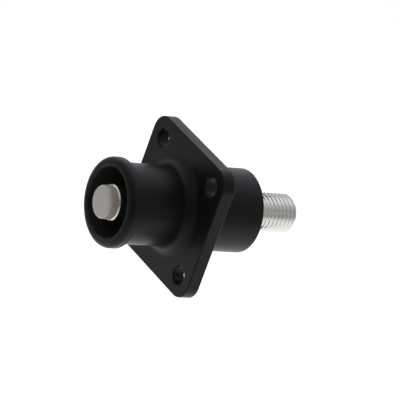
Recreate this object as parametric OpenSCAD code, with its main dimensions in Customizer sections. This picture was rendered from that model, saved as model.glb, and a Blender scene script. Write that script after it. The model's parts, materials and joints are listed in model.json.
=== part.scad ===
// Single-pole power receptacle for panel mounting, in millimetres.
// The mating axis lies along Y with the nose towards -Y. The panel face of the flange is the plane y = 0,
// and the origin is the centre of the mounting holes on that face. +Z is up.
// The profiles below are drawn as radius and height, where height runs along the axis towards the nose
// and is 0 on the panel face.

/* [Flange] */
// Distance between mounting hole centres, across and up
hole_spacing = 28; // [26:0.5:40]
// Diameter of a mounting hole
hole_d = 5.5; // [3.5:0.1:6.5]
// Distance from a hole's centre to the flange's edge
hole_edge = 6; // [4:0.1:10]
// Thickness of the flange
flange_t = 3.9; // [3:0.1:8]
// Radius of the flange's corners
corner_r = 5.3; // [1:0.1:8]
// Rounding of the flange's edges
flange_edge_r = 0.3; // [0.1:0.05:0.6]
// Chamfer round the mounting holes
hole_chamfer = 0.25; // [0.1:0.05:0.6]

/* [Nose] */
// Length of the nose in front of the flange
nose_l = 21.4; // [16:0.1:40]
// Gap between the contact pin and the bore of the nose, on the radius
cavity_gap = 4.85; // [4.5:0.05:8]
// Wall of the nose barrel
nose_wall = 1.35; // [1.1:0.05:2.5]
// How far the lip stands out from the barrel
lip_rise = 1.35; // [1:0.05:1.8]
// Length of the lip along the nose
lip_l = 3.6; // [2.5:0.1:6]
// Rounding of the lip's front edge
lip_front_r = 1.8; // [1:0.05:1.9]
// Rounding of the lip's rear edge
lip_rear_r = 0.4; // [0.1:0.05:0.6]
// Chamfer inside the mouth
mouth_chamfer = 0.4; // [0.1:0.05:0.6]
// Radius of the fillet where the barrel meets the flange
foot_r = 3.3; // [1:0.1:4]

/* [Rear barrel] */
// Wall of the rear barrel outside the ring groove
rear_wall = 1.8; // [1.2:0.05:4]
// Length of the rear barrel behind the retaining ring
rear_lip = 3.5; // [2:0.1:10]
// Rounding of the rear barrel's end
rear_edge_r = 0.6; // [0.2:0.05:1]
// Floor of the nose cavity, in front of the panel face
cavity_floor = 2; // [0.5:0.1:3]
// Thickness of the bulkhead behind the cavity
bulkhead_t = 5; // [3:0.1:10]

/* [Contact] */
// Diameter of the contact pin
pin_d = 10.3; // [8:0.1:13]
// How far the pin's end lies behind the lip's front
pin_recess = 1.05; // [0.3:0.05:6]
// Chamfer on the pin's end, post and shoulders
contact_chamfer = 0.3; // [0.1:0.05:0.6]
// Step from the pin out to its root in the bulkhead
root_step = 0.25; // [0.1:0.05:1]
// Step from the pin out to the sealing land
land_step = 1.85; // [1.6:0.05:2.5]
// Length of the sealing land
land_l = 7; // [5:0.1:12]
// Step from the sealing land out to the hexagon's flats
hex_step = 1; // [0.8:0.05:2]
// Length of the hexagon that stops the contact from turning
hex_l = 5; // [3:0.1:10]
// Step from the hexagon's flats in to the clamping shoulder
shoulder_step = 0.8; // [0.5:0.05:1.2]
// How far the clamping shoulder stands out of the rear barrel
shoulder_proud = 0.15; // [0.05:0.05:1]
// Diameter of the threaded post over its crests
post_d = 11.1; // [8:0.1:13.5]
// Length of the threaded post
post_l = 16.3; // [8:0.1:40]
// Depth of the plain neck behind the thread, on the radius
neck_depth = 0.95; // [0.4:0.05:1.5]
// Length of the plain neck
neck_l = 0.8; // [0.4:0.1:2]
// Chamfer at the post's free end
post_chamfer = 1; // [0.5:0.1:1.5]

/* [Touch-safe tip] */
// Step from the pin in to the tip
tip_step = 0.45; // [0.1:0.05:0.8]
// Length of the tip in front of the pin
tip_l = 2.9; // [1.5:0.1:6]
// Rounding of the tip's front edge
tip_edge_r = 0.8; // [0.2:0.05:1.2]
// Diameter of the tip's stem
stem_d = 4; // [2:0.1:6]
// Length of the stem
stem_l = 8; // [4:0.5:20]

/* [Seals and ring] */
// Width of the panel seal's groove
seal_w = 2.1; // [1.5:0.05:2.6]
// Depth of the panel seal's groove
seal_depth = 1.5; // [1:0.05:2]
// Ledge between the rear barrel and the panel seal's groove
seal_ledge = 1; // [0.5:0.05:1.3]
// Depth of the contact seal's groove in the sealing land
land_groove = 1.4; // [1:0.05:1.7]
// Width of the contact seal's groove
land_groove_w = 2.1; // [1.6:0.05:3]
// Thickness of the retaining ring
ring_t = 1.2; // [0.8:0.05:2]
// Depth of the retaining ring's groove
ring_groove = 0.7; // [0.4:0.05:1.2]
// Width of the retaining ring's gap
ring_gap = 5; // [2:0.1:8]
// Diameter of the plier holes in the retaining ring
plier_hole_d = 1.3; // [0.8:0.05:1.6]

/* [Fits] */
// Clearance on the radius between the contact and the housing's bores
bore_fit = 0.1; // [0.05:0.01:0.2]
// Clearance between the hexagon and its pocket, on each side
hex_fit = 0.1; // [0.05:0.01:0.2]
// Clearance on the radius of the ring and of the shoulder inside it
ring_fit = 0.1; // [0.05:0.01:0.3]
// Clearance of the seals in their grooves, and of the stem in its hole
seal_fit = 0.02; // [0.01:0.01:0.05]

/* [Hidden] */
$fn = 96;
over = 1;
// Rounding of a squeezed seal, as a share of its section's smaller side
seal_round = 0.4;

// Flange
flange_side = hole_spacing + 2 * hole_edge;
corner_at = flange_side / 2 - corner_r;

// Contact, from the pin outwards and from the nose backwards
pin_r = pin_d / 2;
root_r = pin_r + root_step;
land_r = pin_r + land_step;
hex_flat_r = land_r + hex_step;
hex_corner_r = hex_flat_r / cos(30);
shoulder_r = hex_flat_r - shoulder_step;
post_r = post_d / 2;
nose_end = flange_t + nose_l;
pin_end = nose_end - pin_recess;
land_front = cavity_floor - bulkhead_t;
land_rear = land_front - land_l;
hex_rear = land_rear - hex_l;
ring_slot = ring_t + ring_fit;
rear_end = hex_rear - ring_slot - rear_lip;
shoulder_end = rear_end - shoulder_proud;
post_end = shoulder_end - post_l;
groove_mid = (land_front + land_rear) / 2;
stem_hole_l = stem_l + bore_fit;

// Housing, from the contact outwards
cavity_r = pin_r + cavity_gap;
barrel_r = cavity_r + nose_wall;
lip_out_r = barrel_r + lip_rise;
lip_rear = nose_end - lip_l;
counterbore_r = hex_corner_r + 2 * hex_fit;
ring_groove_r = counterbore_r + ring_groove;
rear_r = ring_groove_r + rear_wall;
seal_in_r = rear_r + seal_ledge;
seal_out_r = seal_in_r + seal_w;
ring_in_r = shoulder_r + 3 * ring_fit;

// Turns a shape drawn round the local Z axis so that its front points to -Y
module along_axis() {
    rotate([90, 0, 0]) children();
}

// Rectangle between two radii and two heights
module band(r0, r1, low, high) {
    translate([r0, low]) square([r1 - r0, high - low]);
}

// Rectangle from the axis outwards with its upper and lower outer corners rounded, or left square at 0
module round_band(r, low, high, low_r, high_r) {
    band(0, r - low_r, low, high - high_r);
    band(0, r - high_r, low + low_r, high);
    band(0, r, low + low_r, high - high_r);
    if (low_r > 0) translate([r - low_r, low + low_r]) circle(low_r);
    if (high_r > 0) translate([r - high_r, high - high_r]) circle(high_r);
}

// Fillet that fills the corner between a wall of radius r and a face at the given height
module corner_fillet(r, height, fillet_r) {
    difference() {
        band(r, r + fillet_r, height, height + fillet_r);
        translate([r + fillet_r, height + fillet_r]) circle(fillet_r);
    }
}

// Half section of everything turned on the housing, before it is bored
module body_section() {
    band(0, barrel_r, 0, nose_end - lip_front_r);
    round_band(lip_out_r, lip_rear, nose_end, lip_rear_r, lip_front_r);
    corner_fillet(barrel_r, flange_t, foot_r);
    round_band(rear_r, rear_end, flange_t, rear_edge_r, 0);
}

// Half section of what is bored out of the housing round the axis
module bore_section() {
    band(0, cavity_r, cavity_floor, nose_end + over);
    polygon([
        [0, nose_end - mouth_chamfer],
        [cavity_r, nose_end - mouth_chamfer],
        [cavity_r + mouth_chamfer + over, nose_end + over],
        [0, nose_end + over]
    ]);
    band(0, root_r + bore_fit, land_front - over, nose_end);
    band(0, land_r + bore_fit, land_rear - over, land_front);
    band(0, counterbore_r, rear_end - over, hex_rear);
    band(0, ring_groove_r, hex_rear - ring_slot, hex_rear);
}

// Square plate with round corners and rounded edges
module flange_plate() {
    for (x = [-corner_at, corner_at], y = [-corner_at, corner_at])
        translate([x, y, 0]) rotate_extrude() round_band(corner_r, 0, flange_t, flange_edge_r, flange_edge_r);
    for (turn = [0, 90])
        rotate([90, 0, turn]) linear_extrude(2 * corner_at, center = true) {
            round_band(flange_side / 2, 0, flange_t, flange_edge_r, flange_edge_r);
            mirror([1, 0]) round_band(flange_side / 2, 0, flange_t, flange_edge_r, flange_edge_r);
        }
}

// Half section of one mounting hole with its chamfers
module hole_section() {
    band(0, hole_d / 2, -over, flange_t + over);
    for (face = [0, 1])
        translate([0, face * flange_t]) mirror([0, face]) polygon([
            [0, hole_chamfer],
            [hole_d / 2, hole_chamfer],
            [hole_d / 2 + hole_chamfer + over, -over],
            [0, -over]
        ]);
}

// The four mounting holes
module mounting_holes() {
    for (x = [-1, 1], y = [-1, 1])
        translate([x * hole_spacing / 2, y * hole_spacing / 2, 0]) rotate_extrude() hole_section();
}

// Hexagonal bar with a flat across the local Y axis
module hexagon(flat_r, low, high) {
    translate([0, 0, low]) cylinder(r = flat_r / cos(30), h = high - low, $fn = 6);
}

module housing() {
    color([0.13, 0.13, 0.14]) along_axis() difference() {
        union() {
            rotate_extrude() body_section();
            flange_plate();
        }
        rotate_extrude() bore_section();
        hexagon(hex_flat_r + hex_fit, hex_rear - over / 2, land_rear + hex_fit);
        rotate_extrude() band(seal_in_r, seal_out_r, -over, seal_depth);
        mounting_holes();
    }
}

// Half section of the contact without its hexagon
module contact_section() {
    polygon([
        [0, post_end],
        [post_r - post_chamfer, post_end],
        [post_r, post_end + post_chamfer],
        [post_r, shoulder_end - neck_l - neck_depth],
        [post_r - neck_depth, shoulder_end - neck_l],
        [post_r - neck_depth, shoulder_end],
        [shoulder_r - contact_chamfer, shoulder_end],
        [shoulder_r, shoulder_end + contact_chamfer],
        [shoulder_r, hex_rear],
        [land_r, land_rear],
        [land_r, land_front - contact_chamfer],
        [land_r - contact_chamfer, land_front],
        [root_r, land_front],
        [root_r, cavity_floor],
        [pin_r, cavity_floor],
        [pin_r, pin_end - contact_chamfer],
        [pin_r - contact_chamfer, pin_end],
        [0, pin_end]
    ]);
}

module contact_pin() {
    color([0.82, 0.82, 0.8]) along_axis() difference() {
        union() {
            rotate_extrude() contact_section();
            hexagon(hex_flat_r, hex_rear, land_rear);
        }
        translate([0, 0, pin_end - stem_hole_l]) cylinder(d = stem_d + 2 * seal_fit, h = stem_hole_l + over);
        rotate_extrude()
            band(land_r - land_groove, land_r + over,
                groove_mid - land_groove_w / 2, groove_mid + land_groove_w / 2);
    }
}

module touch_safe_tip() {
    color([0.6, 0.58, 0.55]) along_axis() rotate_extrude() {
        round_band(pin_r - tip_step, pin_end, pin_end + tip_l, 0, tip_edge_r);
        band(0, stem_d / 2, pin_end - stem_l, pin_end + tip_edge_r);
    }
}

// Section of a squeezed round seal that fills a groove, leaving the seal's clearance all round
module seal_section(r0, r1, low, high) {
    round_r = seal_round * min(r1 - r0, high - low);
    side_r = [r0 + seal_fit, r1 - seal_fit];
    side_h = [low + seal_fit, high - seal_fit];
    band(side_r[0] + round_r, side_r[1] - round_r, side_h[0], side_h[1]);
    band(side_r[0], side_r[1], side_h[0] + round_r, side_h[1] - round_r);
    for (r = [side_r[0] + round_r, side_r[1] - round_r], h = [side_h[0] + round_r, side_h[1] - round_r])
        translate([r, h]) circle(round_r);
}

module contact_seal() {
    color([0.16, 0.16, 0.17]) along_axis() rotate_extrude()
        seal_section(land_r - land_groove, land_r + bore_fit,
            groove_mid - land_groove_w / 2, groove_mid + land_groove_w / 2);
}

module retaining_ring() {
    hole_at = (ring_in_r + counterbore_r) / 2;
    hole_turn = asin((ring_gap / 2 + plier_hole_d) / hole_at);
    color([0.55, 0.56, 0.58]) along_axis()
    translate([0, 0, hex_rear - ring_t]) linear_extrude(ring_t) difference() {
        circle(ring_groove_r - ring_fit);
        circle(ring_in_r);
        translate([-ring_gap / 2, 0]) square([ring_gap, ring_groove_r + over]);
        for (side = [-1, 1]) rotate(side * hole_turn) translate([0, hole_at]) circle(d = plier_hole_d);
    }
}

module panel_seal() {
    color([0.16, 0.16, 0.17]) along_axis() rotate_extrude() seal_section(seal_in_r, seal_out_r, 0, seal_depth);
}

housing();
contact_pin();
touch_safe_tip();
contact_seal();
retaining_ring();
panel_seal();
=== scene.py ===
import json
import math
from collections import namedtuple

import bmesh
import bpy
from bpy.props import FloatProperty, FloatVectorProperty, PointerProperty
from mathutils import Matrix, Vector


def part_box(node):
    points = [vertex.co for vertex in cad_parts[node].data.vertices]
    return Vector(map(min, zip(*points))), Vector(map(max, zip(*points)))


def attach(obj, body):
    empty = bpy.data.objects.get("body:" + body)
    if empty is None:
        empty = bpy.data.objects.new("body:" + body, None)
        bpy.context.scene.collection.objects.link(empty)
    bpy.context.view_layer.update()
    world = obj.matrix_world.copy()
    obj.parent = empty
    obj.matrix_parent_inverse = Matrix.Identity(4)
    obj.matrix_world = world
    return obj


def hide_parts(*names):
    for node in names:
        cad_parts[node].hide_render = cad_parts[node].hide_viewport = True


bl_info = {
    "name": "Panel power receptacle",
    "version": (1, 0, 0),
    "blender": (4, 5, 0),
    "location": "View3D > Sidebar > Receptacle",
    "description": "Finishes a single-pole panel receptacle around its packed solids",
    "category": "Object",
}

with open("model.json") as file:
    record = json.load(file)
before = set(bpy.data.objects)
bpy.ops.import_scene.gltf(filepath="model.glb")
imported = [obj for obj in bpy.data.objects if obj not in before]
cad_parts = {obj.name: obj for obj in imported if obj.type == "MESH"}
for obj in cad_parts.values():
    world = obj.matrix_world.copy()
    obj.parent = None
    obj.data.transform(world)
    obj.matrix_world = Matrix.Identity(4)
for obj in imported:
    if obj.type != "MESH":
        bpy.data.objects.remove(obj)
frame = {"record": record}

MM = 0.001
BODY = "root"
# Facets round the axis, a multiple of 6 so that the hexagon's corners fall on facets, and round a hole
SEGMENTS = 192
HOLE_SEGMENTS = 64
# Turns from point to point along a rounded edge and along the retaining ring's outline, in degrees
ARC_STEP = 7.5
RING_STEP = 3
# Facets across the rounding of the stamped ring's edges
RING_EDGE_SEGMENTS = 2
# Edges that turn more than this stay crisp
CRISP_ANGLE = math.radians(32)
# Rings of the threaded post in one pitch of its thread
RINGS_PER_PITCH = 20
# Shares of a pitch over which the thread's root and crest lie flat
ROOT_SHARE = 0.25
CREST_SHARE = 0.125
# Stands in for a radius of 0, which can't be divided by
NEARLY_ZERO = 1e-9
# Side of the floor in metres, and its cells along a side
FLOOR_SIZE = 8.0
FLOOR_CELLS = 8
# Features a metre and detail of the floor's mottle, and the darkest and lightest share of its colour
FLOOR_MOTTLE = (3, 2)
FLOOR_TONES = (0.99, 1.01)
# Shares of a light pool's half lengths where it starts and stops fading
POOL_FADE = (0.55, 0.95)
FOOT_FADE = (0.4, 1.0)
# Cosines of the angle to a light's middle where it starts and where it would be full
SIDES_FADE = (-0.95, -0.5)
SOFT_BOX_FADE = (0.3, 1.05)

# Texture of a finish: features a metre and detail of its mottle and of its fine grain, the depth and
# strength of that grain, and the darkest and lightest share of a mottled finish's colour
Texture = namedtuple("Texture", "mottle grain depth strength tones", defaults=[None])
PLASTIC_TEXTURE = Texture((260, 3), (5200, 3), depth=0.02 * MM, strength=0.25, tones=(0.8, 1.25))
SILVER_TEXTURE = Texture((320, 3), (9000, 2), depth=0.01 * MM, strength=0.2, tones=(0.93, 1.05))
TIP_TEXTURE = Texture((500, 3), (7000, 2), depth=0.01 * MM, strength=0.2)
RUBBER_TEXTURE = Texture((3000, 3), (3000, 3), depth=0.02 * MM, strength=0.3, tones=(0.7, 1.4))
STEEL_TEXTURE = Texture((2400, 4), (2400, 4), depth=0.01 * MM, strength=0.2, tones=(0.6, 1.5))
# A material whose colour is still to be set, with the nodes that the colour is built from
Coat = namedtuple("Coat", "material tree shader coordinates mottle")

housing_low, housing_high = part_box("housing")
contact_low, contact_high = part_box("contact_pin")
tip_low, tip_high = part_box("touch_safe_tip")
land_seal_low, land_seal_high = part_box("contact_seal")
panel_seal_low, panel_seal_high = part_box("panel_seal")
ring_low, ring_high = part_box("retaining_ring")


def mount_dims(name):
    """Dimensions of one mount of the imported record."""
    return next(mount["dims"] for mount in frame["record"]["mounts"] if mount["name"] == name)


HOLES = mount_dims("mounting_holes")
PIN = mount_dims("mating_pin")
POST = mount_dims("terminal_post")


# Properties

def length(name, description, default):
    """A property that holds a length in metres."""
    return FloatProperty(name=name, description=description, default=default, unit="LENGTH", precision=5)


def factor(name, description, default):
    """A property that holds a share from 0 to 1."""
    return FloatProperty(
        name=name, description=description, default=default, min=0, max=1, subtype="FACTOR")


def span(name, description, default):
    """A property that holds the least and the most of a share from 0 to 1."""
    return FloatVectorProperty(
        name=name, description=description, default=default, size=2, min=0, max=1)


def number(name, description, default, unit="NONE"):
    """A property that holds a plain number, or one in a unit that isn't a length."""
    return FloatProperty(name=name, description=description, default=default, unit=unit)


def colour(name, description, default):
    """A property that holds a linear colour."""
    return FloatVectorProperty(name=name, description=description, default=default, size=3, subtype="COLOR")


def angle(name, description, degrees):
    """A property that holds an angle."""
    return FloatProperty(name=name, description=description, default=math.radians(degrees), unit="ROTATION")


class HousingSizes(bpy.types.PropertyGroup):
    """Sizes of the moulded housing. Heights run along the axis towards the nose, from the panel face."""
    flange_side: length("Flange side", "Side of the square flange", housing_high.x - housing_low.x)
    flange_t: length("Flange thickness", "Thickness of the flange", 3.9 * MM)
    corner_r: length("Corner radius", "Radius of the flange's corners", 5.3 * MM)
    edge_r: length("Edge rounding", "Rounding of the flange's edges", 0.3 * MM)
    hole_spacing: length("Hole spacing", "Distance between hole centres", HOLES["spacing_x_mm"] * MM)
    hole_r: length("Hole radius", "Radius of a mounting hole", HOLES["hole_r_mm"] * MM)
    hole_edge_r: length("Hole rim", "Rounding of the mounting holes' rims", 0.25 * MM)
    nose_end: length("Nose end", "Height of the lip's front", -housing_low.y)
    cavity_r: length("Mouth radius", "Radius of the bore of the nose", 10 * MM)
    cavity_floor: length("Cavity floor", "Height of the cavity's floor", 2 * MM)
    mouth_chamfer: length("Mouth chamfer", "Chamfer inside the mouth", 0.4 * MM)
    barrel_r: length("Barrel radius", "Outer radius of the nose barrel", 11.35 * MM)
    lip_outer_r: length("Lip radius", "Outer radius of the lip", 12.7 * MM)
    lip_l: length("Lip length", "Length of the lip along the axis", 3.6 * MM)
    lip_r: length("Lip rounding", "Rounding of the lip's front edge", 1.8 * MM)
    lip_edge_r: length("Lip edge", "Rounding of the lip's rear edge", 0.4 * MM)
    foot_r: length("Foot fillet", "Fillet where the barrel meets the flange", 3.3 * MM)
    rear_end: length("Rear end", "Height of the rear barrel's end", -housing_high.y)
    rear_wall: length("Rear wall", "Wall of the rear barrel outside the ring groove", 1.8 * MM)
    rear_edge_r: length("Rear edge", "Rounding of the rear barrel's end", 0.6 * MM)
    ring_groove: length("Ring groove", "Depth of the retaining ring's groove", 0.7 * MM)
    fit: length("Bore clearance", "Clearance between the contact and the bores", 0.1 * MM)


class ContactSizes(bpy.types.PropertyGroup):
    """Sizes of the turned contact."""
    pin_r: length("Pin radius", "Radius of the mating pin", PIN["r_mm"] * MM)
    pin_end: length("Pin end", "Height of the pin's end", -contact_low.y)
    root_r: length("Root radius", "Radius of the pin's root in the bulkhead", 5.4 * MM)
    land_r: length("Land radius", "Radius of the sealing land", 7 * MM)
    land_front: length("Land front", "Height of the sealing land's front", -3 * MM)
    land_rear: length("Land rear", "Height of the sealing land's rear", -10 * MM)
    groove_depth: length("Seal groove depth", "Depth of the groove in the sealing land", 1.4 * MM)
    groove_w: length("Seal groove width", "Width of the groove in the sealing land", 2.1 * MM)
    hex_flat_r: length("Hexagon", "Half the hexagon's width over its flats", contact_high.z)
    hex_rear: length("Hexagon rear", "Height of the hexagon's rear face", -ring_low.y)
    shoulder_r: length("Shoulder radius", "Radius of the clamping shoulder", 7.2 * MM)
    shoulder_end: length("Shoulder end", "Height of the clamping face", -housing_high.y - 0.15 * MM)
    chamfer: length("Chamfer", "Chamfer on the contact's edges", 0.3 * MM)
    post_r: length("Post radius", "Radius of the post over the thread's crests", POST["r_mm"] * MM)
    post_end: length("Post end", "Height of the post's free end", -contact_high.y)
    post_chamfer: length("Post chamfer", "Chamfer at the post's free end", 1 * MM)
    neck_depth: length("Neck depth", "Depth of the plain neck", 0.95 * MM)
    neck_l: length("Neck length", "Length of the plain neck", 0.8 * MM)
    pitch: length("Thread pitch", "Pitch of the thread", 1.35 * MM)
    thread_depth: length("Thread depth", "Depth of the thread", 0.83 * MM)
    stem_hole_r: length("Stem hole radius", "Radius of the hole for the tip's stem", 2.02 * MM)
    stem_hole_l: length("Stem hole depth", "Depth of the hole for the tip's stem", 8.1 * MM)


class TipSizes(bpy.types.PropertyGroup):
    """Sizes of the touch-safe tip."""
    radius: length("Tip radius", "Radius of the tip's head", tip_high.x)
    edge_r: length("Tip edge", "Rounding of the tip's front edge", 0.8 * MM)
    stem_r: length("Stem radius", "Radius of the tip's stem", 2 * MM)


class RingSizes(bpy.types.PropertyGroup):
    """Sizes of the seals and of the retaining ring."""
    panel_seal_w: length("Panel seal width", "Width of the squeezed panel seal", 2.06 * MM)
    land_seal_w: length("Contact seal width", "Radial width of the squeezed contact seal", 1.46 * MM)
    seal_round: factor("Seal rounding", "Rounding as a share of the section's smaller side", 0.4)
    seal_fit: length("Seal clearance", "Clearance of the panel seal in its groove", 0.02 * MM)
    ring_in_r: length("Ring inner radius", "Inner radius of the retaining ring", 7.5 * MM)
    ring_gap: length("Ring gap", "Width of the retaining ring's gap", 5 * MM)
    plier_hole_r: length("Plier hole", "Radius of the plier holes", 0.65 * MM)
    plier_hole_at: length("Plier hole place", "Distance of the plier holes from the axis", 8.47 * MM)
    ring_edge: length("Ring edge", "Rounding of the stamped ring's edges", 0.08 * MM)


class Finishes(bpy.types.PropertyGroup):
    """Colours and finishes."""
    plastic: colour("Housing", "Black moulded plastic", (0.006, 0.0073, 0.0067))
    # Painted light: a lighter tone inside the nose stands in for light reflected into the cavity
    bore: colour("Bore", "Duller plastic inside the nose", (0.031, 0.0315, 0.026))
    # Painted light: a lighter tone inside the mounting holes stands in for light falling on their walls
    hole: colour("Holes", "Duller plastic inside the mounting holes", (0.014, 0.0155, 0.0145))
    plastic_rough: span("Housing roughness", "Least and most roughness of the plastic", (0.306, 0.414))
    plastic_ior: number("Housing index", "Refractive index of the moulded skin", 1.25)
    silver: colour("Contact", "Silver plate", (0.82, 0.805, 0.785))
    # Painted shade: a darker edge colour dims the silver's glancing reflections, standing in for shade on
    # the thread's flanks and roots
    painted_glancing_shade: colour("Contact edges", "Silver plate at glancing angles", (0.5, 0.5, 0.49))
    silver_rough: span("Contact roughness", "Least and most roughness of the silver", (0.176, 0.286))
    tip: colour("Tip", "Grey-white plastic of the touch-safe tip", (0.555, 0.52, 0.482))
    tip_root: colour("Tip root", "Warmer tone of the tip where it meets the pin", (0.73, 0.6, 0.425))
    tip_rough: span("Tip roughness", "Least and most roughness of the tip", (0.4, 0.5))
    rubber: colour("Seals", "Black rubber", (0.012, 0.012, 0.012))
    rubber_rough: span("Seal roughness", "Least and most roughness of the rubber", (0.55, 0.75))
    spring_steel: colour("Retaining ring", "Phosphated spring steel", (0.12, 0.12, 0.125))
    steel_rough: span("Ring roughness", "Least and most roughness of the steel", (0.35, 0.6))
    floor: colour("Floor", "Pale floor", (0.65, 0.65, 0.64))
    floor_rough: factor("Floor roughness", "Roughness of the floor", 0.9)


class StudioSettings(bpy.types.PropertyGroup):
    """Camera, floor and light."""
    azimuth: angle("Azimuth", "Camera's turn from the nose towards +X", 52.07)
    elevation: angle("Elevation", "Camera's height over the horizon", 22.37)
    roll: angle("Roll", "Camera's lean about its own view", 20.22)
    distance: length("Distance", "Camera's distance from its target", 939.1 * MM)
    target: FloatVectorProperty(name="Target", description="Point at the picture's centre",
                                default=(1.419 * MM, 3.983 * MM, 3.231 * MM), size=3, subtype="TRANSLATION")
    lens: number("Lens", "Focal length in millimetres", 302.8, "CAMERA")
    floor_drop: length("Floor drop", "Height of the part's middle over the floor", 0.1)
    camera_side: colour("Camera side", "Light from behind the camera", (0.12, 0.12, 0.12))
    sides: colour("Sides", "Light from the sides of the studio", (0.46, 0.476, 0.468))
    soft_box: colour("Soft box", "Light of the soft box above and behind the part", (1.2, 1.22, 1.34))
    soft_box_height: angle("Soft box height", "Height of the soft box's middle over the horizon", 40)
    pool: colour("Floor light", "Light of the floor in the middle of its bright pool", (0.55, 0.545, 0.53))
    pool_away: length("Pool distance", "Distance of the pool's middle behind the part", 0.33)
    pool_aside: length("Pool shift", "Distance of the pool's middle to the right of the part", 0.16)
    pool_l: length("Pool length", "Half length of the pool, away from the camera", 0.6)
    pool_w: length("Pool width", "Half width of the pool", 0.5)
    foot_light: colour("Foot light", "Extra light of the floor below the part", (0.33, 0.325, 0.308))
    foot_light_aside: length("Foot light shift", "Distance of its middle to the right of the part", 0.4)
    foot_light_l: length("Foot light length", "Its half length, away from the camera", 0.5)
    foot_light_w: length("Foot light width", "Its half width", 0.8)


# Mesh helpers

def arc(centre, radius, start, stop):
    """Points of a half section on an arc, from one angle to another in degrees."""
    steps = max(2, round(abs(stop - start) / ARC_STEP))
    turns = [math.radians(start + (stop - start) * i / steps) for i in range(steps + 1)]
    return [(centre[0] + radius * math.cos(turn), centre[1] + radius * math.sin(turn)) for turn in turns]


def stretch(start, stop, steps):
    """Points of a half section that divide a straight line into steps, without its last point."""
    low, run = Vector(start), Vector(stop) - Vector(start)
    return [tuple(low + run * i / steps) for i in range(steps)]


def hexagon(flat_r):
    """Radius of a hexagon with a corner on the X axis, as a function of the angle."""
    sixth = math.pi / 3
    return lambda turn: flat_r / math.cos(turn % sixth - sixth / 2)


def on_axis(radius, height, turn):
    """Point at a radius, a height along the axis and an angle round it."""
    return Vector((radius * math.cos(turn), -height, radius * math.sin(turn)))


def turned_ring(bm, radius, height):
    """Vertices of one ring round the axis, or one vertex on it. The radius may depend on the angle."""
    if radius == 0:
        return [bm.verts.new(on_axis(0, height, 0))]
    shape = radius if callable(radius) else (lambda turn: radius)
    turns = [2 * math.pi * i / SEGMENTS for i in range(SEGMENTS)]
    return [bm.verts.new(on_axis(shape(turn), height, turn)) for turn in turns]


def bridge(bm, first, second):
    """Faces between two rings, where either may be a single vertex."""
    count = max(len(first), len(second))
    for i in range(count):
        corners = [first[i % len(first)], first[(i + 1) % len(first)]]
        corners += [second[(i + 1) % len(second)], second[i % len(second)]]
        bm.faces.new(list(dict.fromkeys(corners)))


def revolve(bm, section, closed=False):
    """Turns a half section, a list of radii and heights, round the axis and returns its rings."""
    rings = [turned_ring(bm, radius, height) for radius, height in section]
    for first, second in zip(rings, rings[1:]):
        bridge(bm, first, second)
    if closed:
        bridge(bm, rings[-1], rings[0])
    return rings


def loop_edges(bm, ring):
    """Edges of a closed ring of vertices, made where they are missing."""
    pairs = zip(ring, ring[1:] + ring[:1])
    return [bm.edges.get(pair) or bm.edges.new(pair) for pair in pairs]


def fill_flat(bm, rings):
    """Fills the flat face between an outline and the rings inside it."""
    edges = [edge for ring in rings for edge in loop_edges(bm, ring)]
    bmesh.ops.triangle_fill(bm, use_beauty=True, edges=edges)


def mark_crisp_edges(bm):
    """Smooth faces, with a crisp edge wherever the surface turns sharply."""
    for face in bm.faces:
        face.smooth = True
    for edge in bm.edges:
        edge.smooth = edge.calc_face_angle(0) < CRISP_ANGLE


def new_piece(bm, name, material):
    """Object at the origin from a closed mesh, with its faces turned outwards."""
    open_edges = sum(len(edge.link_faces) != 2 for edge in bm.edges)
    if open_edges:
        raise RuntimeError(f"{name} has {open_edges} open edges")
    bmesh.ops.recalc_face_normals(bm, faces=bm.faces)
    mark_crisp_edges(bm)
    mesh = bpy.data.meshes.new(name)
    bm.to_mesh(mesh)
    bm.free()
    mesh.materials.append(material)
    piece = bpy.data.objects.new(name, mesh)
    bpy.context.scene.collection.objects.link(piece)
    return piece


def settle(piece):
    """Makes the modifiers' result the piece's own mesh."""
    depsgraph = bpy.context.evaluated_depsgraph_get()
    mesh = bpy.data.meshes.new_from_object(piece.evaluated_get(depsgraph), depsgraph=depsgraph)
    mesh.name = piece.name
    piece.modifiers.clear()
    piece.data = mesh


def flatten_shading(piece):
    """Shading that keeps large flat faces flat beside their small rounded edges."""
    modifier = piece.modifiers.new("Flat faces", "WEIGHTED_NORMAL")
    modifier.keep_sharp = True
    settle(piece)


def hand_over(piece, node):
    """Puts the piece on the part's body in place of its solid."""
    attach(piece, BODY)
    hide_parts(node)


# Node helpers

def add_node(tree, kind, **settings):
    """New node with the given settings."""
    node = tree.nodes.new(kind)
    for key, value in settings.items():
        setattr(node, key, value)
    return node


def connect(tree, value, socket):
    """Links a socket to a socket, or sets a constant on it."""
    if isinstance(value, bpy.types.NodeSocket):
        tree.links.new(value, socket)
    else:
        socket.default_value = value


def calc(tree, operation, *values):
    """Result of one arithmetic node."""
    node = add_node(tree, "ShaderNodeMath", operation=operation)
    for value, socket in zip(values, node.inputs):
        connect(tree, value, socket)
    return node.outputs[0]


def in_use(sockets):
    """Those of a node's sockets that its settings leave in use."""
    return [socket for socket in sockets if socket.enabled]


def vector_calc(tree, operation, *values):
    """Result of one vector node."""
    node = add_node(tree, "ShaderNodeVectorMath", operation=operation)
    for value, socket in zip(values, in_use(node.inputs)):
        connect(tree, value, socket)
    return in_use(node.outputs)[0]


def separate(tree, vector):
    """The three parts of a vector, named X, Y and Z."""
    node = add_node(tree, "ShaderNodeSeparateXYZ")
    connect(tree, vector, node.inputs["Vector"])
    return node.outputs


def off_axis(tree, vector):
    """Distance of a point from the part's axis."""
    parts = separate(tree, vector)
    x, z = parts["X"], parts["Z"]
    squares = calc(tree, "MULTIPLY_ADD", x, x, calc(tree, "MULTIPLY", z, z))
    return calc(tree, "SQRT", squares)


def new_material(name):
    """New material, with its tree, its surface shader and the object's own coordinates."""
    material = bpy.data.materials.new(name)
    material.use_nodes = True
    tree = material.node_tree
    shader = tree.nodes["Principled BSDF"]
    coordinates = add_node(tree, "ShaderNodeTexCoord").outputs["Object"]
    return material, tree, shader, coordinates


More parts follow.
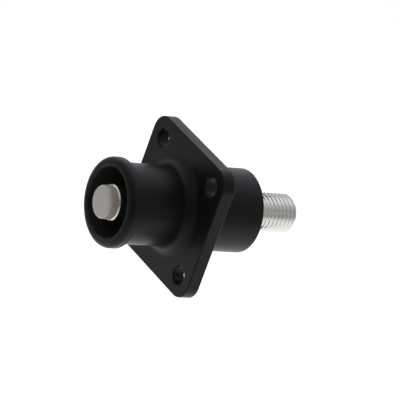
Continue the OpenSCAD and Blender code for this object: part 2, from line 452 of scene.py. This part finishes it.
def noise(tree, coordinates, scale, detail):
    """Grey noise on the object's coordinates, at so many features a metre."""
    node = add_node(tree, "ShaderNodeTexNoise")
    connect(tree, coordinates, node.inputs["Vector"])
    node.inputs["Scale"].default_value = scale
    node.inputs["Detail"].default_value = detail
    return node.outputs["Fac"]


def turning_marks(tree, coordinates, scale, detail):
    """Fine rings of a lathe tool: noise along the axis on the sides and along the radius on the faces."""
    node = add_node(tree, "ShaderNodeTexNoise", noise_dimensions="1D")
    along = calc(tree, "ADD", separate(tree, coordinates)["Y"], off_axis(tree, coordinates))
    connect(tree, along, node.inputs["W"])
    node.inputs["Scale"].default_value = scale
    node.inputs["Detail"].default_value = detail
    return node.outputs["Fac"]


def ramp(tree, value, start, stop, kind="LINEAR"):
    """Share from 0 to 1 of a value's way from start to stop."""
    node = add_node(tree, "ShaderNodeMapRange", interpolation_type=kind)
    connect(tree, value, node.inputs["Value"])
    node.inputs["From Min"].default_value = start
    node.inputs["From Max"].default_value = stop
    return node.outputs["Result"]


def spread(tree, value, low, high):
    """Maps a value from 0..1 to a range."""
    node = add_node(tree, "ShaderNodeMapRange")
    connect(tree, value, node.inputs["Value"])
    node.inputs["To Min"].default_value = low
    node.inputs["To Max"].default_value = high
    return node.outputs["Result"]


def tint(tree, share, dark, light):
    """Colour between two tones, each a colour or a socket."""
    node = add_node(tree, "ShaderNodeMix", data_type="RGBA")
    tones = [tone if isinstance(tone, bpy.types.NodeSocket) else (*tone, 1) for tone in (dark, light)]
    for value, socket in zip((share, *tones), in_use(node.inputs)):
        connect(tree, value, socket)
    return in_use(node.outputs)[0]


def relief(tree, shader, height, depth, strength):
    """Bump on the shader, from a height of 0..1 and a depth in metres."""
    node = add_node(tree, "ShaderNodeBump")
    node.inputs["Strength"].default_value = strength
    node.inputs["Distance"].default_value = depth
    connect(tree, height, node.inputs["Height"])
    connect(tree, node.outputs["Normal"], shader.inputs["Normal"])


def shades(base, shares):
    """Tones at some shares of a colour."""
    return [tuple(part * share for part in base) for share in shares]


# Finishes

def textured(name, texture, rough, marks=noise):
    """Coat with a mottled roughness and a fine relief."""
    material, tree, shader, coordinates = new_material(name)
    mottle = noise(tree, coordinates, *texture.mottle)
    grain = marks(tree, coordinates, *texture.grain)
    connect(tree, spread(tree, mottle, *rough), shader.inputs["Roughness"])
    relief(tree, shader, grain, texture.depth, texture.strength)
    return Coat(material, tree, shader, coordinates, mottle)


def mottled(coat, base, texture):
    """Colour of a coat that wanders between a darker and a lighter tone."""
    return tint(coat.tree, coat.mottle, *shades(base, texture.tones))


def paint(coat, skin):
    """Gives a coat its colour."""
    connect(coat.tree, skin, coat.shader.inputs["Base Color"])


def moulded_plastic(finish, housing):
    """Black glass-filled plastic, with painted light: a lighter tone inside the nose and the mounting holes
    stands in for light that reaches into them.
    """
    coat = textured("black_moulding", PLASTIC_TEXTURE, finish.plastic_rough)
    tree = coat.tree
    from_axis = off_axis(tree, coat.coordinates)
    within = ramp(tree, from_axis, housing.cavity_r + housing.mouth_chamfer, housing.cavity_r)
    in_front = calc(tree, "LESS_THAN", separate(tree, coat.coordinates)["Y"], 0)
    nose = calc(tree, "MULTIPLY", within, in_front)
    # One quarter of the flange stands for all four, so that one test finds every mounting hole
    quarter = vector_calc(tree, "ABSOLUTE", coat.coordinates)
    corner = (housing.hole_spacing / 2, 0, housing.hole_spacing / 2)
    from_hole = off_axis(tree, vector_calc(tree, "SUBTRACT", quarter, corner))
    hole = ramp(tree, from_hole, housing.hole_r + housing.hole_edge_r, housing.hole_r)
    skin = mottled(coat, finish.plastic, PLASTIC_TEXTURE)
    # Painted light: the lighter bore tone stands in for light reflected into the nose's cavity
    skin = tint(tree, nose, skin, finish.bore)
    # Painted light: the lighter hole tone stands in for light falling on the mounting holes' walls and rims
    paint(coat, tint(tree, hole, skin, finish.hole))
    coat.shader.inputs["IOR"].default_value = finish.plastic_ior
    return coat.material


def silver_plate(finish):
    """Silver plating over a turned copper contact, with painted shade: its reflections are dimmed at
    glancing angles.
    """
    coat = textured("silver_plate", SILVER_TEXTURE, finish.silver_rough, turning_marks)
    paint(coat, mottled(coat, finish.silver, SILVER_TEXTURE))
    coat.shader.inputs["Metallic"].default_value = 1
    # Painted shade: the darker edge colour dims reflections at glancing angles
    coat.shader.inputs["Specular Tint"].default_value = (*finish.painted_glancing_shade, 1)
    return coat.material


def tip_plastic(finish):
    """Satin grey-white plastic of the touch-safe tip, warmer towards the pin."""
    coat = textured("tip_plastic", TIP_TEXTURE, finish.tip_rough)
    depth = ramp(coat.tree, separate(coat.tree, coat.coordinates)["Y"], tip_low.y, contact_low.y)
    paint(coat, tint(coat.tree, depth, finish.tip, finish.tip_root))
    return coat.material


def seal_rubber(finish):
    """Matt black rubber of the seals."""
    coat = textured("seal_rubber", RUBBER_TEXTURE, finish.rubber_rough)
    paint(coat, mottled(coat, finish.rubber, RUBBER_TEXTURE))
    return coat.material


def spring_steel(finish):
    """Dark phosphated steel of the retaining ring."""
    coat = textured("spring_steel", STEEL_TEXTURE, finish.steel_rough)
    paint(coat, mottled(coat, finish.spring_steel, STEEL_TEXTURE))
    coat.shader.inputs["Metallic"].default_value = 1
    return coat.material


def light_pool(tree, coordinates, middle, turn, reach, fade):
    """Share of light in an oval pool that fades out between two shares of its half lengths."""
    place = add_node(tree, "ShaderNodeMapping", vector_type="TEXTURE")
    connect(tree, coordinates, place.inputs["Vector"])
    place.inputs["Location"].default_value = middle
    place.inputs["Rotation"].default_value = (0, 0, turn)
    place.inputs["Scale"].default_value = (*reach, 1)
    away = vector_calc(tree, "LENGTH", place.outputs["Vector"])
    full, dark = fade
    return ramp(tree, away, dark, full, "SMOOTHSTEP")


def pale_floor(finish, studio):
    """Matt pale floor with a wide pool of light behind the part, and one below it and to its right."""
    material, tree, shader, coordinates = new_material("pale_floor")
    tones = shades(finish.floor, FLOOR_TONES)
    mottle = noise(tree, coordinates, *FLOOR_MOTTLE)
    connect(tree, tint(tree, mottle, *tones), shader.inputs["Base Color"])
    shader.inputs["Roughness"].default_value = finish.floor_rough
    turn = math.pi / 2 + studio.azimuth
    away = Matrix.Rotation(turn, 3, "Z")
    behind = away @ Vector((studio.pool_away, -studio.pool_aside, -studio.floor_drop))
    below = away @ Vector((0, -studio.foot_light_aside, -studio.floor_drop))
    glow = (0, 0, 0)
    for middle, reach, fade, bright in (
        (behind, (studio.pool_l, studio.pool_w), POOL_FADE, studio.pool),
        (below, (studio.foot_light_l, studio.foot_light_w), FOOT_FADE, studio.foot_light),
    ):
        share = light_pool(tree, coordinates, middle, turn, reach, fade)
        glow = vector_calc(tree, "ADD", glow, vector_calc(tree, "SCALE", bright, share))
    connect(tree, glow, shader.inputs["Emission Color"])
    shader.inputs["Emission Strength"].default_value = 1
    return material


# Housing

def lip_points(housing):
    """Half section from the barrel over the lip to the mouth's bore."""
    front = housing.nose_end
    rear = front - housing.lip_l
    outer_r, edge_r, front_r = housing.lip_outer_r, housing.lip_edge_r, housing.lip_r
    points = [(housing.barrel_r, rear)]
    points += arc((outer_r - edge_r, rear + edge_r), edge_r, -90, 0)
    points += arc((outer_r - front_r, front - front_r), front_r, 0, 90)
    points += [(housing.cavity_r + housing.mouth_chamfer, front)]
    points += [(housing.cavity_r, front - housing.mouth_chamfer)]
    return points


def housing_points(housing, contact, rings):
    """Half section from the barrel's foot, over the nose and through the bores, to the seal groove."""
    fit, foot_r, edge_r = housing.fit, housing.foot_r, housing.rear_edge_r
    root_r, land_r = contact.root_r + fit, contact.land_r + fit
    pocket, pocket_front = hexagon(contact.hex_flat_r + fit), contact.land_rear + fit
    hex_corner_r = contact.hex_flat_r / math.cos(math.pi / 6)
    counterbore_r = hex_corner_r + 2 * fit
    groove_r = counterbore_r + housing.ring_groove
    groove_rear = -(ring_high.y + fit)
    rear_r = groove_r + housing.rear_wall
    seal_out_r = panel_seal_high.x + rings.seal_fit
    seal_in_r = panel_seal_high.x - rings.panel_seal_w - rings.seal_fit
    seal_top = rings.seal_fit - panel_seal_low.y
    points = arc((housing.barrel_r + foot_r, housing.flange_t + foot_r), foot_r, 270, 180)
    points += lip_points(housing)
    points += [(housing.cavity_r, housing.cavity_floor), (root_r, housing.cavity_floor)]
    points += [(root_r, contact.land_front), (land_r, contact.land_front), (land_r, pocket_front)]
    points += [(pocket, pocket_front), (pocket, contact.hex_rear)]
    points += [(groove_r, contact.hex_rear), (groove_r, groove_rear)]
    points += [(counterbore_r, groove_rear), (counterbore_r, housing.rear_end)]
    points += arc((rear_r - edge_r, housing.rear_end + edge_r), edge_r, -90, 0)
    points += [(rear_r, 0), (seal_in_r, 0), (seal_in_r, seal_top), (seal_out_r, seal_top), (seal_out_r, 0)]
    return points


def flange_ring(bm, housing, inset, height):
    """Vertices of the flange's round-cornered outline, drawn in from its side by an inset."""
    radius = housing.corner_r - inset
    reach = housing.flange_side / 2 - housing.corner_r
    steps = round(90 / ARC_STEP)
    ring = []
    for quarter in range(4):
        mid = Matrix.Rotation(quarter * math.pi / 2, 2) @ Vector((reach, reach))
        for i in range(steps + 1):
            turn = math.pi / 2 * (quarter + i / steps)
            x = mid.x + radius * math.cos(turn)
            z = mid.y + radius * math.sin(turn)
            ring.append(bm.verts.new((x, -height, z)))
    return ring


def hole_ring(bm, x, z, radius, height):
    """Vertices of one ring of a round hole along the axis."""
    turns = [2 * math.pi * i / HOLE_SEGMENTS for i in range(HOLE_SEGMENTS)]
    middle = Vector((x, 0, z))
    return [bm.verts.new(middle + on_axis(radius, height, turn)) for turn in turns]


def rounded_wall(edge_r, thickness):
    """Insets and heights up a wall whose two edges are rounded."""
    low_edge = [(edge_r - reach, height) for reach, height in arc((0, edge_r), edge_r, -90, 0)]
    return low_edge + [(inset, thickness - height) for inset, height in reversed(low_edge)]


def housing_mesh(housing, contact, rings):
    """The whole moulding as one closed mesh."""
    bm = bmesh.new()
    turned = revolve(bm, housing_points(housing, contact, rings))
    edge = rounded_wall(housing.edge_r, housing.flange_t)
    rim = rounded_wall(housing.hole_edge_r, housing.flange_t)
    walls = [[flange_ring(bm, housing, inset, height) for inset, height in edge]]
    reach = housing.hole_spacing / 2
    for x in (-reach, reach):
        for z in (-reach, reach):
            walls.append([hole_ring(bm, x, z, housing.hole_r + inset, height) for inset, height in rim])
    for wall in walls:
        for first, second in zip(wall, wall[1:]):
            bridge(bm, first, second)
    fill_flat(bm, [turned[-1]] + [wall[0] for wall in walls])
    fill_flat(bm, [turned[0]] + [wall[-1] for wall in walls])
    return bm


class RECEPTACLE_OT_housing(bpy.types.Operator):
    """Builds the moulded housing"""
    bl_idname = "receptacle.housing"
    bl_label = "Housing"

    def execute(self, context):
        scene = context.scene
        bm = housing_mesh(scene.housing_sizes, scene.contact_sizes, scene.ring_sizes)
        piece = new_piece(bm, "housing_moulding", moulded_plastic(scene.finishes, scene.housing_sizes))
        flatten_shading(piece)
        hand_over(piece, "housing")
        return {"FINISHED"}


# Contact

def thread_tree():
    """Geometry nodes that cut a right-hand thread into the plain post of a contact that lies along Y."""
    tree = bpy.data.node_groups.new("cut_thread", "GeometryNodeTree")
    tree.is_modifier = True
    tree.interface.new_socket("Geometry", in_out="INPUT", socket_type="NodeSocketGeometry")
    for name in ("Crest Radius", "Depth", "Pitch", "Start"):
        tree.interface.new_socket(name, in_out="INPUT", socket_type="NodeSocketFloat")
    tree.interface.new_socket("Material", in_out="INPUT", socket_type="NodeSocketMaterial")
    tree.interface.new_socket("Geometry", in_out="OUTPUT", socket_type="NodeSocketGeometry")
    given = add_node(tree, "NodeGroupInput").outputs
    position = add_node(tree, "GeometryNodeInputPosition").outputs[0]
    x, y, z = separate(tree, position)
    radius = off_axis(tree, position)
    turns = calc(tree, "DIVIDE", calc(tree, "ARCTAN2", z, x), 2 * math.pi)
    phase = calc(tree, "FRACT", calc(tree, "ADD", calc(tree, "DIVIDE", y, given["Pitch"]), turns))
    # 0 in the middle of the root and 1 in the middle of the crest
    wave = calc(tree, "ABSOLUTE", calc(tree, "MULTIPLY_ADD", phase, 2.0, -1.0))
    flank = ramp(tree, wave, ROOT_SHARE, 1 - CREST_SHARE)
    root = calc(tree, "SUBTRACT", given["Crest Radius"], given["Depth"])
    cut = calc(tree, "MULTIPLY_ADD", flank, given["Depth"], root)
    safe_radius = calc(tree, "MAXIMUM", radius, NEARLY_ZERO)
    shrink = calc(tree, "DIVIDE", calc(tree, "MINIMUM", radius, cut), safe_radius)
    new_x, new_z = [calc(tree, "MULTIPLY", value, shrink) for value in (x, z)]
    place = add_node(tree, "ShaderNodeCombineXYZ")
    for value, socket in zip((new_x, y, new_z), place.inputs):
        connect(tree, value, socket)
    move = add_node(tree, "GeometryNodeSetPosition")
    connect(tree, given["Geometry"], move.inputs["Geometry"])
    connect(tree, calc(tree, "GREATER_THAN", y, given["Start"]), move.inputs["Selection"])
    connect(tree, place.outputs[0], move.inputs["Position"])
    realize = add_node(tree, "GeometryNodeRealizeInstances")
    connect(tree, move.outputs["Geometry"], realize.inputs[0])
    coated = add_node(tree, "GeometryNodeSetMaterial")
    connect(tree, realize.outputs[0], coated.inputs["Geometry"])
    connect(tree, given["Material"], coated.inputs["Material"])
    connect(tree, coated.outputs[0], add_node(tree, "NodeGroupOutput").inputs[0])
    return tree


def contact_points(contact, housing):
    """Half section of the contact from the post's end to the bottom of the stem's hole."""
    post_r, land_r, chamfer = contact.post_r, contact.land_r, contact.chamfer
    neck_r = post_r - contact.neck_depth
    neck_front = contact.shoulder_end - contact.neck_l
    thread_low = contact.post_end + contact.post_chamfer
    thread_high = neck_front - contact.neck_depth
    count = round((thread_high - thread_low) / contact.pitch * RINGS_PER_PITCH)
    taper = round(contact.neck_depth / contact.pitch * RINGS_PER_PITCH)
    groove_mid = (contact.land_front + contact.land_rear) / 2
    groove_r = land_r - contact.groove_depth
    collar = hexagon(contact.hex_flat_r)
    hole_bottom = contact.pin_end - contact.stem_hole_l
    points = [(0, contact.post_end)]
    points += stretch((post_r - contact.post_chamfer, contact.post_end), (post_r, thread_low), taper)
    points += stretch((post_r, thread_low), (post_r, thread_high), count)
    points += stretch((post_r, thread_high), (neck_r, neck_front), taper)
    points += [(neck_r, neck_front), (neck_r, contact.shoulder_end)]
    points += [(contact.shoulder_r - chamfer, contact.shoulder_end)]
    points += [(contact.shoulder_r, contact.shoulder_end + chamfer), (contact.shoulder_r, contact.hex_rear)]
    points += [(collar, contact.hex_rear), (collar, contact.land_rear), (land_r, contact.land_rear)]
    for side, radii in ((-1, (land_r, groove_r)), (1, (groove_r, land_r))):
        points += [(radius, groove_mid + side * contact.groove_w / 2) for radius in radii]
    points += [(land_r, contact.land_front - chamfer), (land_r - chamfer, contact.land_front)]
    points += [(contact.root_r, contact.land_front), (contact.root_r, housing.cavity_floor)]
    points += [(contact.pin_r, housing.cavity_floor), (contact.pin_r, contact.pin_end - chamfer)]
    points += [(contact.pin_r - chamfer, contact.pin_end), (contact.stem_hole_r, contact.pin_end)]
    return points + [(contact.stem_hole_r, hole_bottom), (0, hole_bottom)]


def cut_thread(piece, material, contact):
    """Cuts the thread with its node tree and keeps the result as a plain mesh."""
    modifier = piece.modifiers.new("Thread", "NODES")
    modifier.node_group = thread_tree()
    values = {"Crest Radius": contact.post_r, "Depth": contact.thread_depth, "Pitch": contact.pitch,
              "Start": contact.neck_l - contact.shoulder_end, "Material": material}
    for item in modifier.node_group.interface.items_tree:
        if item.in_out == "INPUT" and item.name in values:
            modifier[item.identifier] = values[item.name]
    settle(piece)
    bm = bmesh.new()
    bm.from_mesh(piece.data)
    mark_crisp_edges(bm)
    bm.to_mesh(piece.data)
    bm.free()


class RECEPTACLE_OT_contact(bpy.types.Operator):
    """Turns the contact and cuts the thread on its post"""
    bl_idname = "receptacle.contact"
    bl_label = "Contact"

    def execute(self, context):
        scene = context.scene
        bm = bmesh.new()
        revolve(bm, contact_points(scene.contact_sizes, scene.housing_sizes))
        material = silver_plate(scene.finishes)
        piece = new_piece(bm, "threaded_contact", material)
        cut_thread(piece, material, scene.contact_sizes)
        hand_over(piece, "contact_pin")
        return {"FINISHED"}


# Tip

class RECEPTACLE_OT_tip(bpy.types.Operator):
    """Builds the touch-safe tip"""
    bl_idname = "receptacle.tip"
    bl_label = "Touch-safe tip"

    def execute(self, context):
        scene = context.scene
        tip = scene.tip_sizes
        front, seat, stem_end = -tip_low.y, scene.contact_sizes.pin_end, -tip_high.y
        points = [(0, front)] + arc((tip.radius - tip.edge_r, front - tip.edge_r), tip.edge_r, 90, 0)
        points += [(tip.radius, seat), (tip.stem_r, seat), (tip.stem_r, stem_end), (0, stem_end)]
        bm = bmesh.new()
        revolve(bm, points)
        piece = new_piece(bm, "tip_cap", tip_plastic(scene.finishes))
        flatten_shading(piece)
        hand_over(piece, "touch_safe_tip")
        return {"FINISHED"}


# Seals and ring

def seal_points(low, high, width, share):
    """Half section of a squeezed seal that fills its solid's box, with rounded corners."""
    rear, front = -high.y, -low.y
    edge = share * min(width, front - rear)
    outer_r, inner_r = high.x - edge, high.x - width + edge
    points = arc((outer_r, rear + edge), edge, -90, 0)
    points += arc((outer_r, front - edge), edge, 0, 90)
    points += arc((inner_r, front - edge), edge, 90, 180)
    points += arc((inner_r, rear + edge), edge, 180, 270)
    return points


class RECEPTACLE_OT_seals(bpy.types.Operator):
    """Builds the panel seal and the contact seal"""
    bl_idname = "receptacle.seals"
    bl_label = "Seals"

    def execute(self, context):
        scene = context.scene
        rings = scene.ring_sizes
        rubber = seal_rubber(scene.finishes)
        for name, node, low, high, width in (
            ("panel_o_ring", "panel_seal", panel_seal_low, panel_seal_high, rings.panel_seal_w),
            ("contact_o_ring", "contact_seal", land_seal_low, land_seal_high, rings.land_seal_w),
        ):
            bm = bmesh.new()
            revolve(bm, seal_points(low, high, width, rings.seal_round), closed=True)
            hand_over(new_piece(bm, name, rubber), node)
        return {"FINISHED"}


def ring_outline(rings, outer_r):
    """Outline of the open ring, seen along the axis with its gap upwards."""
    points = []
    for radius, way in ((outer_r, 1), (rings.ring_in_r, -1)):
        open_turn = math.asin(rings.ring_gap / 2 / radius)
        start = math.pi / 2 + open_turn
        sweep = 2 * (math.pi - open_turn)
        steps = round(math.degrees(sweep) / RING_STEP)
        turns = [start + sweep * i / steps for i in range(steps + 1)]
        points += [(radius * math.cos(turn), radius * math.sin(turn)) for turn in turns[::way]]
    return points


class RECEPTACLE_OT_retaining_ring(bpy.types.Operator):
    """Stamps the open retaining ring with its plier holes"""
    bl_idname = "receptacle.retaining_ring"
    bl_label = "Retaining ring"

    def execute(self, context):
        scene = context.scene
        rings = scene.ring_sizes
        outline = ring_outline(rings, ring_high.x)
        # The rim of each plier hole lies one hole radius in from the gap
        hole_r = rings.plier_hole_r
        hole_x = rings.ring_gap / 2 + 2 * hole_r
        hole_z = math.sqrt(rings.plier_hole_at ** 2 - hole_x ** 2)
        faces = (ring_low.y, ring_high.y)
        bm = bmesh.new()
        walls = [[[bm.verts.new((x, y, z)) for x, z in outline] for y in faces]]
        for x in (-hole_x, hole_x):
            walls.append([hole_ring(bm, x, hole_z, hole_r, -y) for y in faces])
        for front, rear in walls:
            bridge(bm, front, rear)
        for side in zip(*walls):
            fill_flat(bm, side)
        piece = new_piece(bm, "open_ring", spring_steel(scene.finishes))
        bevel = piece.modifiers.new("Edges", "BEVEL")
        bevel.width = rings.ring_edge
        bevel.segments = RING_EDGE_SEGMENTS
        settle(piece)
        hand_over(piece, "retaining_ring")
        return {"FINISHED"}


# Stage

def studio_world(studio):
    """Studio that is dark behind the camera and bright towards the backdrop and overhead."""
    world = bpy.data.worlds.new("studio")
    world.use_nodes = True
    tree = world.node_tree
    direction = add_node(tree, "ShaderNodeTexCoord").outputs["Generated"]
    away = Vector((-math.sin(studio.azimuth), math.cos(studio.azimuth), 0))
    soft_box = away * math.cos(studio.soft_box_height) + Vector((0, 0, math.sin(studio.soft_box_height)))
    light = studio.camera_side
    for towards, start, stop, bright in (
        (away, *SIDES_FADE, studio.sides),
        (soft_box, *SOFT_BOX_FADE, studio.soft_box),
    ):
        facing = vector_calc(tree, "DOT_PRODUCT", direction, towards)
        light = tint(tree, ramp(tree, facing, start, stop, "SMOOTHSTEP"), light, bright)
    connect(tree, light, tree.nodes["Background"].inputs["Color"])
    bpy.context.scene.world = world


def view_direction(studio):
    """Unit vector from the part towards the camera."""
    level = Vector((math.sin(studio.azimuth), -math.cos(studio.azimuth), 0))
    return level * math.cos(studio.elevation) + Vector((0, 0, math.sin(studio.elevation)))


def photo_camera(studio):
    """Camera at the photograph's viewing angle."""
    data = bpy.data.cameras.new("photo_camera")
    data.lens = studio.lens
    camera = bpy.data.objects.new("photo_camera", data)
    towards = view_direction(studio)
    upright = (-towards).to_track_quat("-Z", "Y").to_matrix()
    lean = Matrix.Rotation(studio.roll, 3, "Z")
    camera.matrix_world = Matrix.LocRotScale(
        Vector(studio.target) + towards * studio.distance, upright @ lean, None)
    bpy.context.scene.collection.objects.link(camera)
    bpy.context.scene.camera = camera


class RECEPTACLE_OT_stage(bpy.types.Operator):
    """Sets up the floor, the studio light and the camera"""
    bl_idname = "receptacle.stage"
    bl_label = "Stage"

    def execute(self, context):
        scene = context.scene
        studio = scene.studio
        bm = bmesh.new()
        bmesh.ops.create_grid(bm, x_segments=FLOOR_CELLS, y_segments=FLOOR_CELLS, size=FLOOR_SIZE / 2,
                              matrix=Matrix.Translation((0, 0, -studio.floor_drop)))
        mesh = bpy.data.meshes.new("floor")
        bm.to_mesh(mesh)
        bm.free()
        mesh.materials.append(pale_floor(scene.finishes, studio))
        floor = bpy.data.objects.new("floor", mesh)
        scene.collection.objects.link(floor)
        studio_world(studio)
        photo_camera(studio)
        scene.view_settings.view_transform = "Standard"
        return {"FINISHED"}


# Panel and registration

GROUPS = {
    "housing_sizes": HousingSizes,
    "contact_sizes": ContactSizes,
    "tip_sizes": TipSizes,
    "ring_sizes": RingSizes,
    "finishes": Finishes,
    "studio": StudioSettings,
}
STEPS = (
    RECEPTACLE_OT_housing,
    RECEPTACLE_OT_contact,
    RECEPTACLE_OT_tip,
    RECEPTACLE_OT_seals,
    RECEPTACLE_OT_retaining_ring,
    RECEPTACLE_OT_stage,
)


class RECEPTACLE_PT_panel(bpy.types.Panel):
    """Lists the steps and their settings"""
    bl_label = "Panel power receptacle"
    bl_idname = "RECEPTACLE_PT_panel"
    bl_space_type = "VIEW_3D"
    bl_region_type = "UI"
    bl_category = "Receptacle"

    def draw(self, context):
        for step in STEPS:
            self.layout.operator(step.bl_idname)
        for name, group in GROUPS.items():
            box = self.layout.box()
            for key in group.__annotations__:
                box.prop(getattr(context.scene, name), key)


CLASSES = (*GROUPS.values(), *STEPS, RECEPTACLE_PT_panel)


def register():
    for kind in CLASSES:
        bpy.utils.register_class(kind)
    for name, group in GROUPS.items():
        setattr(bpy.types.Scene, name, PointerProperty(type=group))


def unregister():
    for name in GROUPS:
        delattr(bpy.types.Scene, name)
    for kind in reversed(CLASSES):
        bpy.utils.unregister_class(kind)


def main():
    register()
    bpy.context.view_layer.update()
    bpy.ops.receptacle.stage()
    bpy.ops.receptacle.housing()
    bpy.ops.receptacle.contact()
    bpy.ops.receptacle.tip()
    bpy.ops.receptacle.seals()
    bpy.ops.receptacle.retaining_ring()


if __name__ == "__main__":
    main()
